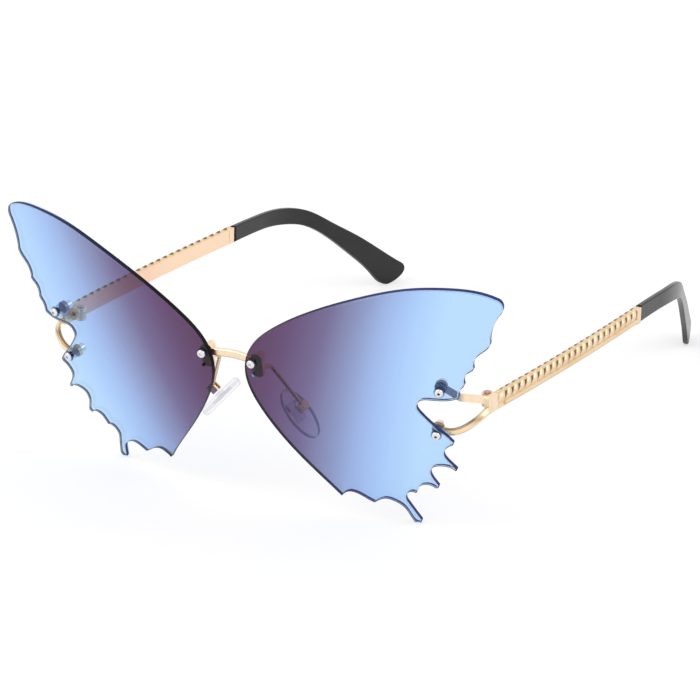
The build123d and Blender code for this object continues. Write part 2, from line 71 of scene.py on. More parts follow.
class Side(Enum):
    """The two mirrored halves."""

    RIGHT = 1
    LEFT = -1

    @property
    def word(self) -> str:
        """Ending of the node names of this half."""
        return self.name.lower()

    def mirrored(self, point: Vector) -> Vector:
        """A place of the right half, taken to this half."""
        return Vector((self.value * point.x, point.y, point.z))


def linear(red: int, green: int, blue: int) -> tuple[float, float, float]:
    """A screen colour as linear shares of light.

    Args:
        red: Red from 0 to 255.
        green: Green from 0 to 255.
        blue: Blue from 0 to 255.

    Returns:
        The three linear shares.
    """
    levels = [level / 255 for level in (red, green, blue)]
    return tuple(v / 12.92 if v <= 0.04045 else ((v + 0.055) / 1.055) ** 2.4 for v in levels)


def add_object(name: str, data: ID) -> Object:
    """Makes an object and puts it in the scene.

    Args:
        name: Its name.
        data: Its mesh, lamp or camera.

    Returns:
        The object.
    """
    thing = bpy.data.objects.new(name, data)
    bpy.context.scene.collection.objects.link(thing)
    return thing


class Num:
    """A value socket that takes part in arithmetic and adds its Math nodes."""

    def __init__(self, sheet: "NodeSheet", socket: NodeSocket) -> None:
        """Wraps a socket of a sheet."""
        self.sheet = sheet
        self.socket = socket

    def math(self, operation: str, *terms: "Num | float", clamp: bool = False) -> "Num":
        """One Math node on its terms in order, held between 0 and 1 if clamped."""
        node = self.sheet.node(
            "ShaderNodeMath", dict(enumerate(terms)), {"operation": operation, "use_clamp": clamp}
        )
        return Num(self.sheet, node.outputs[0])

    def __add__(self, other: "Num | float") -> "Num":
        """Sum."""
        return self.math("ADD", self, other)

    __radd__ = __add__

    def __sub__(self, other: "Num | float") -> "Num":
        """Difference."""
        return self.math("SUBTRACT", self, other)

    def __rsub__(self, other: float) -> "Num":
        """Difference from a number."""
        return self.math("SUBTRACT", other, self)

    def __mul__(self, other: "Num | float") -> "Num":
        """Product."""
        return self.math("MULTIPLY", self, other)

    def __truediv__(self, other: "Num | float") -> "Num":
        """Quotient."""
        return self.math("DIVIDE", self, other)

    def __pow__(self, other: float) -> "Num":
        """Power."""
        return self.math("POWER", self, other)

    def __abs__(self) -> "Num":
        """Size without its sign."""
        return self.math("ABSOLUTE", self)

    def step(self, low: float, high: float) -> "Num":
        """Rise from 0 at low to 1 at high, held beyond; a fall where low is above high."""
        return self.math("MULTIPLY", self - low, 1 / (high - low), clamp=True)


class NodeSheet:
    """A node tree that is written as expressions."""

    def __init__(self, tree: NodeTree) -> None:
        """Starts on an empty tree."""
        self.tree = tree
        tree.nodes.clear()

    def node(self, kind: str, inputs: dict | None = None, settings: dict | None = None) -> Node:
        """Adds a node, sets it, then gives its sockets values or links.

        Args:
            kind: The node's type.
            inputs: Values, sockets or wrapped sockets by the input's name or index.
            settings: Its properties, set first.

        Returns:
            The node.
        """
        node = self.tree.nodes.new(kind)
        for name, value in (settings or {}).items():
            setattr(node, name, value)
        for name, value in (inputs or {}).items():
            source = value.socket if isinstance(value, Num) else value
            if isinstance(source, NodeSocket):
                self.tree.links.new(source, node.inputs[name])
            else:
                node.inputs[name].default_value = source
        return node

    def split(self, vector: NodeSocket) -> tuple[Num, Num, Num]:
        """The three parts of a vector."""
        node = self.node("ShaderNodeSeparateXYZ", {"Vector": vector})
        return tuple(Num(self, part) for part in node.outputs)

    def join(self, x: Num | float, y: Num | float, z: Num | float) -> NodeSocket:
        """A vector of three parts."""
        return self.node("ShaderNodeCombineXYZ", {"X": x, "Y": y, "Z": z}).outputs[0]


def along(parts: list[Num], axis: Vector) -> Num:
    """Distance of a place along a direction."""
    return parts[0] * axis.x + parts[1] * axis.y + parts[2] * axis.z


def squared(parts: list[Num]) -> Num:
    """Square of a place's distance."""
    return parts[0] * parts[0] + parts[1] * parts[1] + parts[2] * parts[2]


class Finish(NodeSheet):
    """The nodes of one material."""

    def __init__(self, name: str) -> None:
        """Makes the material and its empty tree.

        Args:
            name: Its name.
        """
        self.material = bpy.data.materials.new(name)
        self.material.use_nodes = True
        super().__init__(self.material.node_tree)
        self.places = self.node("ShaderNodeTexCoord").outputs["Object"]

    def place(self) -> tuple[Num, Num, Num]:
        """Object coordinates in millimetres."""
        x, y, z = self.split(self.places)
        return x / MM, y / MM, z / MM

    def away(self, start: Vector | tuple, side: Side) -> list[Num]:
        """Millimetres from a place of the right half, seen in this half."""
        x, y, z = self.place()
        return [x * side.value - start[0], y - start[1], z - start[2]]

    def normal(self, kind: str = "Normal") -> NodeSocket:
        """The surface's normal."""
        return self.node("ShaderNodeNewGeometry").outputs[kind]

    def dot(self, one: NodeSocket, other: Vector) -> Num:
        """Dot product."""
        node = self.node("ShaderNodeVectorMath", {0: one, 1: other}, {"operation": "DOT_PRODUCT"})
        return Num(self, node.outputs["Value"])

    def clear(self, colour: tuple[float, float, float]) -> Node:
        """A tinted shader that light goes straight through."""
        return self.node("ShaderNodeBsdfTransparent", {"Color": (*colour, 1)})

    def solid(self, inputs: dict) -> Node:
        """A Principled shader."""
        return self.node("ShaderNodeBsdfPrincipled", inputs)

    def noise(self, scale: float, detail: float = 3.0) -> Num:
        """Noise of so many grains per metre, mostly near one half."""
        node = self.node(
            "ShaderNodeTexNoise",
            {"Vector": self.places, "Scale": scale, "Detail": detail, "Roughness": 0.55},
        )
        return Num(self, node.outputs["Fac"])

    def attribute(self, name: str) -> Num:
        """A value that the mesh carries."""
        node = self.node("ShaderNodeAttribute", settings={"attribute_name": name})
        return Num(self, node.outputs["Fac"])

    def facing(self) -> Num:
        """0 where the surface is seen square on, 1 at its rim."""
        return Num(self, self.node("ShaderNodeLayerWeight").outputs["Facing"])

    def tint(self, share: Num, one: tuple | NodeSocket, other: tuple | NodeSocket) -> NodeSocket:
        """A colour between two screen colours, or sockets."""
        ends = [c if isinstance(c, NodeSocket) else linear(*c) for c in (one, other)]
        return self.blend(share, *ends)

    def blend(self, share: Num, one: tuple, other: tuple) -> NodeSocket:
        """A colour between two.

        Args:
            share: 0 gives the first colour and 1 the other.
            one: First colour, or its socket.
            other: Other colour, or its socket.

        Returns:
            The colour's socket.
        """
        colours = [c if isinstance(c, NodeSocket) else (*c, 1.0) for c in (one, other)]
        inputs = {0: share, 6: colours[0], 7: colours[1]}
        return self.node("ShaderNodeMix", inputs, {"data_type": "RGBA"}).outputs[2]

    def grain(self, scale: float, depth: float, strength: float, detail: float = 2) -> NodeSocket:
        """A normal bent by fine noise."""
        inputs = {"Strength": strength, "Distance": depth * MM, "Height": self.noise(scale, detail)}
        return self.node("ShaderNodeBump", inputs).outputs["Normal"]

    def mix(self, share: Num | float, one: Node, other: Node) -> Node:
        """A shader between two."""
        return self.node("ShaderNodeMixShader", {0: share, 1: one.outputs[0], 2: other.outputs[0]})

    def done(self, surface: Node) -> Material:
        """Sends a shader to the output."""
        self.node("ShaderNodeOutputMaterial", {"Surface": surface.outputs[0]})
        return self.material


class GrowTree(NodeSheet):
    """A Geometry Nodes tree with named sizes, run once on a carrier mesh."""

    def __init__(self, name: str) -> None:
        """Makes the tree with its geometry sockets.

        Args:
            name: Its name.
        """
        super().__init__(bpy.data.node_groups.new(name, "GeometryNodeTree"))
        face = self.tree.interface
        face.new_socket("Geometry", in_out="OUTPUT", socket_type="NodeSocketGeometry")
        face.new_socket("Geometry", in_out="INPUT", socket_type="NodeSocketGeometry")
        self.sizes: dict[str, tuple[str, object]] = {}
        self.entry: Node | None = None

    def declare(self, values: dict[str, object]) -> None:
        """Adds the named inputs and then the entry node.

        Args:
            values: Each input's name and value: a length, a count or an object.
        """
        kinds = {float: "NodeSocketFloat", int: "NodeSocketInt"}
        for name, value in values.items():
            kind = kinds.get(type(value), "NodeSocketObject")
            socket = self.tree.interface.new_socket(name, in_out="INPUT", socket_type=kind)
            self.sizes[name] = (socket.identifier, value)
        self.entry = self.node("NodeGroupInput")

    def size(self, name: str) -> Num:
        """A named input."""
        return Num(self, self.entry.outputs[name])

    def position(self) -> tuple[Num, Num, Num]:
        """Where a point lies."""
        return self.split(self.node("GeometryNodeInputPosition").outputs[0])

    def moved(self, shape: Node, place: NodeSocket) -> Node:
        """A shape whose points are put elsewhere."""
        inputs = {"Geometry": shape.outputs[0], "Position": place}
        return self.node("GeometryNodeSetPosition", inputs)

    def circle(self, facets: int, radius: Num | float) -> NodeSocket:
        """A ring to sweep along a line."""
        inputs = {"Resolution": facets, "Radius": radius}
        return self.node("GeometryNodeCurvePrimitiveCircle", inputs).outputs[0]

    def placed(self, points: NodeSocket, shape: Node, turn: NodeSocket, **more: NodeSocket) -> Node:
        """A shape set on every point."""
        inputs = {"Points": points, "Instance": shape.outputs["Geometry"], "Rotation": turn, **more}
        return self.node("GeometryNodeInstanceOnPoints", inputs)

    def run(self, piece_name: str, carrier: Mesh, shape: NodeSocket, material: Material) -> Object:
        """Ends the tree, evaluates it on the carrier and keeps a plain mesh.

        Args:
            piece_name: Name of the piece.
            carrier: Mesh that the tree works on.
            shape: The finished geometry, with instances.
            material: The finish of the whole piece.

        Returns:
            The piece, with no modifier.
        """
        real = self.node("GeometryNodeRealizeInstances", {0: shape})
        dressed = self.node("GeometryNodeSetMaterial", {0: real.outputs[0], "Material": material})
        self.node("NodeGroupOutput", {0: dressed.outputs[0]})
        piece = add_object(piece_name, carrier)
        growth = piece.modifiers.new("growth", "NODES")
        growth.node_group = self.tree
        for identifier, value in self.sizes.values():
            growth[identifier] = value
        graph = bpy.context.evaluated_depsgraph_get()
        mesh = bpy.data.meshes.new_from_object(piece.evaluated_get(graph))
        piece.modifiers.remove(growth)
        piece.data = mesh
        mesh.name = piece_name
        return piece


@dataclass(frozen=True)
class TintedLens:
    """Clear sheet, dark plum beside the nose and sky blue at the wing tips, with painted shade on
    its cut edges for the dark that refraction gives there.
    """

    # How far out from the curved line of middle tint, and the colour seen there before white
    stops: tuple = (
        (-20.0, (100, 73, 100)), (-12.5, (107, 84, 119)), (-3.0, (122, 112, 151)),
        (1.6, (135, 138, 177)), (6.3, (146, 159, 201)), (11.0, (159, 181, 227)),
        (16.0, (168, 197, 243)), (21.0, (176, 209, 251)), (29.0, (187, 221, 253)),
    )
    # How that distance runs on each lens: a start, then shares of across, up and their squares
    run_right: tuple = (14.8, 1.14, -0.266, 0.0043, -0.0007)
    run_left: tuple = (13.4, 0.906, -0.319, -0.0033, -0.0029)
    gloss: float = 0.035
    fresnel_power: float = 5.0
    mirror_rough: float = 0.02
    # The cut edge, in painted shade standing for the dark of its refraction: where a face counts as
    # edge, by its turn from the front, and how it looks
    edge_turn: tuple = (0.75, 0.6)
    edge_near: tuple = (8, 6, 8)
    edge_far_right: tuple = (40, 52, 108)
    edge_far_left: tuple = (34, 46, 82)
    edge_run: tuple = (-14.0, 16.0)
    edge_rough: float = 0.4
    edge_uneven: float = 0.12
    edge_scale: float = 900
    edge_specular: float = 0.12
    # The least light that may be left once the gloss is taken off
    darkest: float = 0.004
    # Out at the wing the left lens's edge is clear beyond this depth behind the front face
    clear_run: tuple = (4, 16)
    clear_depth: tuple = (0.7, 0.8)

    def film(self, colour: tuple[int, int, int]) -> tuple[float, float, float]:
        """What one face lets through, so that white seen through both has the colour."""
        kept = (1 - self.gloss) ** 2 + self.gloss
        return tuple(sqrt(max(v - self.gloss, self.darkest) / kept) for v in linear(*colour))

    def make(self, name: str, side: Side, frame: "LensFrame") -> Material:
        """Builds the material of one lens.

        Args:
            name: Its name.
            side: The half it is for.
            frame: The lens's own frame.

        Returns:
            The material.
        """
        sheet = Finish(name)
        away = sheet.away(frame.origin, side)
        across, up = along(away, frame.x_dir), along(away, frame.y_dir)
        right = side is Side.RIGHT
        start, by_across, by_up, by_across2, by_up2 = self.run_right if right else self.run_left
        reach = across * by_across + up * by_up
        reach = reach + across * across * by_across2 + up * up * by_up2 + start
        shader = sheet.clear(self.film(self.stops[0][1]))
        for (low, _), (high, colour) in zip(self.stops, self.stops[1:]):
            shader = sheet.mix(reach.step(low, high), shader, sheet.clear(self.film(colour)))
        mirror = sheet.node(
            "ShaderNodeBsdfGlossy", {"Color": (1, 1, 1, 1), "Roughness": self.mirror_rough}
        )
        shine = (sheet.facing() ** self.fresnel_power) * (1 - self.gloss) + self.gloss
        face = sheet.mix(shine, shader, mirror)
        front = side.mirrored(frame.z_dir)
        edge_share = abs(sheet.dot(sheet.normal("True Normal"), front)).step(*self.edge_turn)
        if not right:
            centre = Vector(frame.origin) - frame.z_dir * frame.base_radius
            depth = frame.base_radius - squared(sheet.away(centre, side)) ** 0.5
            gone = reach.step(*self.clear_run) * depth.step(*self.clear_depth)
            edge_share = edge_share * (1 - gone)
        # Painted shade on the cut edge: a dark solid colour, bluer out at the wings
        far = self.edge_far_right if right else self.edge_far_left
        edge = sheet.solid({
            "Base Color": sheet.tint(reach.step(*self.edge_run), self.edge_near, far),
            "Roughness": self.edge_rough + sheet.noise(self.edge_scale) * self.edge_uneven,
            "Specular IOR Level": self.edge_specular,
        })
        return sheet.done(sheet.mix(edge_share, face, edge))


@dataclass(frozen=True)
class GoldPlate:
    """Pale champagne gold plate, a little uneven in its polish, with painted shade in its recesses
    and where it faces down.
    """

    base: tuple = (246, 224, 194)
    warm: tuple = (241, 212, 172)
    # Painted shade where the plate faces down, in this colour
    shade: tuple = (168, 144, 108)
    patch_scale: float = 160
    patches: tuple = (0.35, 0.7)
    # The tilt over which that painted shade comes in, and its strength
    down: tuple = (-0.1, -0.85)
    down_share: float = 0.75
    rough: float = 0.2
    uneven: float = 0.14
    uneven_scale: float = 1400
    grain: tuple = (1800, 0.004, 0.35)
    # Bridge: painted shade on each pin end inside the lens holes, its colour, and the square of the
    # distance over which it fades
    pin_left: tuple = (34, 27, 34)
    pin_right: tuple = (112, 138, 190)
    pin_fade: tuple = (0.62, 0.5)
    # End pieces: painted shade on the upper arm behind the lens, by depth and height
    veiled: tuple = (112, 112, 134)
    veil_depth: tuple = (-64.5, -66.5)
    veil_height: tuple = (33.0, 34.5)
    # End pieces: a painted dark reflection on the lower arm's inner side, by tilt and height
    streak: tuple = (134, 108, 80)
    streak_share: float = 0.85
    streak_tilt: tuple = (0.1, 0.4)
    streak_top: tuple = (31.4, 30.4)
    streak_end: tuple = (20.5, 22.5)
    # Hinge screw: its lower end, by height
    screw_low: tuple = (48, 38, 34)
    screw_fade: tuple = (31.8, 30.8)
    # Temple: painted shade in the slots between the links, by relief over the bowed face and height
    # on the bar
    tarnish: tuple = (92, 66, 46)
    slot_share: float = 0.85
    slot_middle: float = 0.8
    slot_taper: float = 0.24
    slot_relief: tuple = (0.46, 0.2)
    slot_floor: tuple = (-0.1, -0.04)
    slot_low: tuple = (-0.5, 0.1)
    slot_high: tuple = (1.8, 1.4)
    # Temple: painted shade on the bar's top between the links, and the rope's ends
    cap_share: float = 0.8
    cap_relief: tuple = (-0.3, -0.6)
    cap_height: tuple = (2.1, 2.22)
    rope_start: tuple = (0.9, 1.3)
    rope_end: tuple = (2.2, 2.6)
    rope_rough: float = 0.12
    gap_rough: float = 0.3
    # Temple: painted light on the flat inner face, by relief: a lighter colour, pinker by its run
    # along the bar
    flat: tuple = (252, 222, 191)
    blush: tuple = (246, 200, 178)
    inner_near: tuple = (-1.12, -1.25)
    inner_far: tuple = (-1.6, -1.45)
    blush_run: tuple = (44, 16)

    def polish(self, sheet: Finish) -> Num:
        """The uneven roughness."""
        return self.rough + sheet.noise(self.uneven_scale) * self.uneven

    def metal(self, sheet: Finish, colour: NodeSocket, rough: Num) -> Material:
        """Ends a material in metal of a given colour and roughness.

        Args:
            sheet: The material's nodes.
            colour: Its base colour.
            rough: Its roughness.

        Returns:
            The material.
        """
        return sheet.done(sheet.solid({
            "Base Color": colour, "Metallic": 1.0, "Roughness": rough,
            "Normal": sheet.grain(*self.grain),
        }))

    def tone(self, sheet: Finish) -> NodeSocket:
        """Plain gold with slow warm patches, with painted shade where the plate faces down.

        Args:
            sheet: The material's nodes.

        Returns:
            The colour.
        """
        patches = sheet.noise(self.patch_scale, 2).step(*self.patches)
        plain = sheet.tint(patches, self.base, self.warm)
        # Painted shade on faces that look down
        down = sheet.split(sheet.normal())[2].step(*self.down)
        return sheet.tint(down * self.down_share, plain, self.shade)

    def make(self, name: str) -> Material:
        """Builds the plain gold."""
        sheet = Finish(name)
        return self.metal(sheet, self.tone(sheet), self.polish(sheet))

    def make_bridge(self, name: str, frame: "LensFrame") -> Material:
        """Builds the gold of the bridge, with painted shade on its pin ends where they stand in the
        lenses.

        Args:
            name: Its name.
            frame: The right lens's frame, with the place of its pin hole.

        Returns:
            The material.
        """
        sheet = Finish(name)
        x, y, z = sheet.place()
        pin = frame.seat(frame.pin_hole)[0]
        near = squared([abs(x) - pin.x, y - pin.y, z - pin.z]).step(*self.pin_fade)
        # Painted shade on the pin ends, near black on the left and dim blue on the right
        end = sheet.tint(x.step(-1, 1), self.pin_left, self.pin_right)
        return self.metal(sheet, sheet.blend(near, self.tone(sheet), end), self.polish(sheet))

    def make_arms(self, name: str) -> Material:
        """Builds the gold of the end pieces, with painted shade behind the lens and a painted dark
        reflection inside the lower arm.

        Args:
            name: Its name.

        Returns:
            The material.
        """
        sheet = Finish(name)
        _, depth, height = sheet.place()
        # Painted shade on the upper arm where it lies behind the lens
        behind = depth.step(*self.veil_depth) * height.step(*self.veil_height)
        # Painted dark reflection along the lower arm's inner side
        tilt = sheet.split(sheet.normal())[2].step(*self.streak_tilt)
        streak = tilt * height.step(*self.streak_top) * height.step(*self.streak_end)
        colour = sheet.tint(streak * self.streak_share, self.tone(sheet), self.streak)
        colour = sheet.tint(behind, colour, self.veiled)
        return self.metal(sheet, colour, self.polish(sheet))

    def make_hinge(self, name: str) -> Material:
        """Builds the hinge screw's metal, nearly black at its lower end.

        Args:
            name: Its name.

        Returns:
            The material.
        """
        sheet = Finish(name)
        low = sheet.place()[2].step(*self.screw_fade)
        colour = sheet.tint(low, self.tone(sheet), self.screw_low)
        return self.metal(sheet, colour, self.polish(sheet))

    def make_roped(self, name: str, side: Side, temple: "TempleRope") -> Material:
        """Builds the gold of a temple, with painted shade where the bar shows between the links and
        painted light on its flat inner face.

        Args:
            name: Its name.
            side: The half it is for.
            temple: The temple's sizes.

        Returns:
            The material.
        """
        sheet = Finish(name)
        origin, along_dir, out_dir, up_dir = temple.axes()
        away = sheet.away(origin, side)
        run, out, up = along(away, along_dir), along(away, out_dir), along(away, up_dir)
        share = run / temple.length
        relief = out - share * (1 - share) * (4 * temple.bow)
        # Painted shade in the slots between the links and on the bar's top between them
        leaf = (relief + abs(up - self.slot_middle) * self.slot_taper).step(*self.slot_relief)
        slot = leaf * relief.step(*self.slot_floor) * up.step(*self.slot_low)
        slot = slot * up.step(*self.slot_high) * self.slot_share
        cap_shade = relief.step(*self.cap_relief) * up.step(*self.cap_height) * self.cap_share
        ends = [temple.length - inset for inset in self.rope_end]
        recess_shade = (slot + cap_shade) * run.step(*self.rope_start) * run.step(*ends)
        # Painted light: the flat inner face is lighter, and pinker towards the hinge
        inner = relief.step(*self.inner_near) * relief.step(*self.inner_far)
        flat = sheet.tint(run.step(*self.blush_run), self.flat, self.blush)
        colour = sheet.tint(recess_shade, sheet.blend(inner, self.tone(sheet), flat), self.tarnish)
        rough = self.polish(sheet) + self.rope_rough + recess_shade * self.gap_rough
        return self.metal(sheet, colour, rough)


@dataclass(frozen=True)
class PolishedSteel:
    """Bright screw metal with painted shade in its socket."""

    base: tuple = (236, 234, 232)
    worn: tuple = (222, 219, 217)
    pit: tuple = (70, 66, 70)
    wear_scale: float = 1800
    wear: tuple = (0.3, 0.75)
    metallic: float = 0.9
    rough: float = 0.16
    uneven: float = 0.14
    grain: tuple = (3000, 0.006, 0.5)
    # The painted shade in the sockets is darker out at the wings than at the bridge, by distance
    # from the middle
    outer: tuple = (20, 21)
    inner_share: float = 0.2

    def make(self, name: str, with_socket: bool) -> Material:
        """Builds the material.

        Args:
            name: Its name.
            with_socket: Whether the mesh carries a socket attribute.

        Returns:
            The material.
        """
        sheet = Finish(name)
        wear = sheet.noise(self.wear_scale)
        colour = sheet.tint(wear.step(*self.wear), self.base, self.worn)
        if with_socket:
            # Painted shade in the socket, deeper out at the wings
            outer = abs(sheet.place()[0]).step(*self.outer) * (1 - self.inner_share)
            share = sheet.attribute("socket") * (outer + self.inner_share)
            colour = sheet.tint(share, colour, self.pit)
        return sheet.done(sheet.solid({
            "Base Color": colour, "Metallic": self.metallic,
            "Roughness": self.rough + wear * self.uneven, "Normal": sheet.grain(*self.grain),
        }))


@dataclass(frozen=True)
class ClearPart:
    """See-through moulding: nearly clear square on, tinted and glossy towards its rim."""

    through: tuple = (0.985, 0.985, 0.995)
    body: tuple = (140, 138, 180)
    least: float = 0.015
    most: float = 0.92
    rough: float = 0.12
    rise: float = 7.0
    haze_scale: float = 420
    haze: tuple = (0.35, 0.65)
    hazed: float = 0.8
    cloud: float = 0.04
    uneven: float = 0.1
    grain: tuple = (1500, 0.01, 0.4)
    # A nose pad's painted dark rim line: its colour, the right pad's axis and middle, and where it
    # lies
    ring: tuple = (62, 54, 108)
    ring_rough: float = 0.2
    pad_axis: tuple = (0.732, -0.123, 0.67)
    pad_middle: tuple = (10.83, -64.18, 22.67)
    ring_turn: tuple = (0.34, 0.16)
    ring_reach: tuple = (2.75, 3.1)

    def make(self, name: str, side: Side | None = None, rim_shade_share: float = 0.0) -> Material:
        """Builds the material.

        Args:
            name: Its name.
            side: The half of a nose pad, whose rim gets a painted dark line; none for another part.
            rim_shade_share: Strength of that line.

        Returns:
            The material.
        """
        sheet = Finish(name)
        haze = sheet.noise(self.haze_scale, 2)
        body = linear(*self.body)
        hazed = tuple(self.hazed * level for level in body)
        solid = sheet.solid({
            "Base Color": sheet.blend(haze.step(*self.haze), body, hazed),
            "Roughness": self.rough + haze * self.uneven, "Normal": sheet.grain(*self.grain),
        })
        share = (sheet.facing() ** self.rise) * (self.most - self.least)
        share = share + (haze * self.cloud + self.least)
        part = sheet.mix(share, sheet.clear(self.through), solid)
        # Painted shade: a dark line along the nose pad's rim
        if side:
            turn = abs(sheet.dot(sheet.normal(), side.mirrored(Vector(self.pad_axis))))
            reach = squared(sheet.away(self.pad_middle, side)) ** 0.5
            colour = (*linear(*self.ring), 1)
            line = sheet.solid({"Base Color": colour, "Roughness": self.ring_rough})
            rim = turn.step(*self.ring_turn) * reach.step(*self.ring_reach)
            part = sheet.mix(rim * rim_shade_share, part, line)
        return sheet.done(part)


@dataclass(frozen=True)
class PolishedBevel:
    """Painted highlight of the lens's polished bevel: a bright line out at the wings that fades
    towards the nose.
    """

    base: tuple = (232, 240, 250)
    worn: tuple = (214, 226, 244)
    wear_scale: float = 800
    rough: float = 0.15
    uneven: float = 0.1
    most: float = 0.65
    left_share: float = 0.5
    wing: tuple = (24, 52)

    def make(self, name: str) -> Material:
        """Builds the material.

        Args:
            name: Its name.

        Returns:
            The material.
        """
        sheet = Finish(name)
        wear = sheet.noise(self.wear_scale, 2)
        # Painted highlight: the bright, nearly white line
        bright = sheet.solid({
            "Base Color": sheet.tint(wear, self.base, self.worn),
            "Roughness": self.rough + wear * self.uneven,
        })
        x = sheet.place()[0]
        half = x.step(-1, 1) * (1 - self.left_share) + self.left_share
        share = abs(x).step(*self.wing) * half * self.most
        return sheet.done(sheet.mix(share, sheet.clear((1, 1, 1)), bright))


@dataclass(frozen=True)
class DarkAcetate:
    """Glossy dark grey sleeve of the temple tips, faintly streaked, black at its joint."""

    base: tuple = (13, 13, 14)
    streak: tuple = (23, 23, 25)
    stretch: tuple = (900.0, 90.0, 500.0)
    streaks: tuple = (0.4, 0.75)
    joint: tuple = (19.4, 19.0)
    rough: float = 0.2
    uneven: float = 0.16
    uneven_scale: float = 700
    joint_rough: float = 0.5
    specular: float = 0.3
    coat: float = 0.2
    coat_rough: float = 0.1
    grain: tuple = (1200, 0.01, 0.4, 4)

    def make(self, name: str) -> Material:
        """Builds the material.

        Args:
            name: Its name.

        Returns:
            The material.
        """
        sheet = Finish(name)
        joint = sheet.place()[1].step(*self.joint)
        drawn = sheet.node("ShaderNodeMapping", {"Vector": sheet.places, "Scale": self.stretch})
        noise = sheet.node(
            "ShaderNodeTexNoise", {"Vector": drawn.outputs[0], "Scale": 1.0, "Detail": 3.0}
        )
        share = Num(sheet, noise.outputs["Fac"]).step(*self.streaks)
        streaked = sheet.tint(share, self.base, self.streak)
        rough = self.rough + sheet.noise(self.uneven_scale) * self.uneven
        return sheet.done(sheet.solid({
            "Base Color": sheet.blend(joint, streaked, (0.0, 0.0, 0.0)),
            "Roughness": rough + joint * self.joint_rough, "Specular IOR Level": self.specular,
            "Coat Weight": self.coat - joint * self.coat, "Coat Roughness": self.coat_rough,
            "Normal": sheet.grain(*self.grain),
        }))


@dataclass(frozen=True)
class LensFrame:
    """Frame of the right lens: the middle of its outline, and how it stands."""

    origin: tuple = (36.2001, -74.0425, 30.9)
    wrap: float = 11.7
    tilt: float = 14.9
    width: float = 64.0
    height: float = 67.0
    base_radius: float = 147.6
    pin_hole: tuple = (-0.4645, 0.073)

    @property
    def x_dir(self) -> Vector:
        """Across the lens, outwards."""
        return Vector((cos(radians(self.wrap)), sin(radians(self.wrap)), 0))

    @property
    def z_dir(self) -> Vector:
        """Out of its front face."""
        w, t = radians(self.wrap), radians(self.tilt)
        return Vector((sin(w) * cos(t), -cos(w) * cos(t), -sin(t)))

    @property
    def y_dir(self) -> Vector:
        """Up along the lens."""
        return self.z_dir.cross(self.x_dir)

    def seat(self, share: tuple[float, float]) -> tuple[Vector, Vector]:
        """A place on the front face.

        Args:
            share: Its place across and up, in shares of the width and height.

        Returns:
            The place and the face's normal there.
        """
        across, up = share[0] * self.width, share[1] * self.height
        sag = self.base_radius - sqrt(self.base_radius**2 - across**2 - up**2)
        place = Vector(self.origin) + self.x_dir * across + self.y_dir * up - self.z_dir * sag
        centre = Vector(self.origin) - self.z_dir * self.base_radius
        return place, (place - centre).normalized()


@dataclass
class Lenses:
    """The two tinted lenses, CAD shapes with a finish, and a painted highlight line along each
    outline.
    """

    frame: LensFrame
    tint: TintedLens
    line_width: float = 0.2
    line_inset: float = 0.3
    line_rise: float = -0.01
    line_spacing: float = 0.35
    line_facets: int = 6
    # The outline lies between a face that looks forward and one that doesn't, by these cosines
    front_turn: float = 0.75
    edge_turn: float = 0.6
    merge: float = 0.004

    def outline(self, side: Side, node: Object) -> list[Vector]:
        """Points of the front face's outer edge, read from a merged copy of the CAD mesh.

        Args:
            side: The half.
            node: The lens.

        Returns:
            The points in order, in metres.
        """
        shell = bmesh.new()
        shell.from_mesh(node.data)
        bmesh.ops.remove_doubles(shell, verts=shell.verts, dist=self.merge * MM)
        flat = side.mirrored(self.frame.z_dir)
        links: dict = {}
        for edge in shell.edges:
            if len(edge.link_faces) == 2:
                dots = sorted(face.normal.dot(flat) for face in edge.link_faces)
                if dots[1] > self.front_turn and dots[0] < self.edge_turn:
                    a, b = edge.verts
                    links.setdefault(a, []).append(b)
                    links.setdefault(b, []).append(a)
        loops, left = [], set(links)
        while left:
            loop = [min(left, key=lambda vert: vert.index)]
            left.discard(loop[0])
            while ahead := [vert for vert in links[loop[-1]] if vert in left]:
                left.discard(ahead[0])
                loop.append(ahead[0])
            loops.append([vert.co.copy() for vert in loop])
        shell.free()
        return max(loops, key=len)

    def edge_line(self, side: Side, node: Object, material: Material) -> Object:
        """The painted highlight of the polished bevel just inside the outline, a ribbon that a tree
        carries along it.

        Args:
            side: The half.
            node: The lens.
            material: Its finish.

        Returns:
            The piece.
        """
        points = self.outline(side, node)
        flat = side.mirrored(self.frame.z_dir)
        count = len(points)
        area = sum(
            (points[i] - points[0]).cross(points[(i + 1) % count] - points[0]).dot(flat)
            for i in range(count)
        )
        turn = 1.0 if area > 0 else -1.0
        inner = []
        for i, point in enumerate(points):
            ahead = points[(i + 1) % count] - points[i - 1]
            inward = flat.cross(ahead).normalized() * turn
            inner.append(point + inward * (self.line_inset * MM) + flat * (self.line_rise * MM))
        carrier = bpy.data.meshes.new("lens_outline_" + side.word)
        carrier.from_pydata(inner, [(i, (i + 1) % count) for i in range(count)], [])
        tree = GrowTree("lens_edge_line_tree_" + side.word)
        tree.declare({"Width": self.line_width * MM, "Spacing": self.line_spacing * MM})
        path = tree.node("GeometryNodeMeshToCurve", {0: tree.entry.outputs[0]})
        even = tree.node(
            "GeometryNodeResampleCurve",
            {"Curve": path.outputs[0], "Length": tree.size("Spacing")}, {"mode": "LENGTH"},
        )
        profile = tree.circle(self.line_facets, tree.size("Width") / 2)
        ribbon = tree.node("GeometryNodeCurveToMesh", {0: even.outputs[0], 1: profile})
        return tree.run("lens_edge_line_" + side.word, carrier, ribbon.outputs[0], material)

    def build(self, nodes: dict[str, Object], line: Material) -> None:
        """Dresses both lenses and adds their lines.

        Args:
            nodes: The CAD nodes.
            line: Finish of the painted highlight lines.
        """
        for side in Side:
            node = nodes["lens_" + side.word]
            dress(node, self.tint.make("tinted_lens_" + side.word, side, self.frame))
            piece = self.edge_line(side, node, line)
            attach(piece, "front")
            log.info("lens %s: tint and edge line, %d faces", side.word, len(piece.data.polygons))


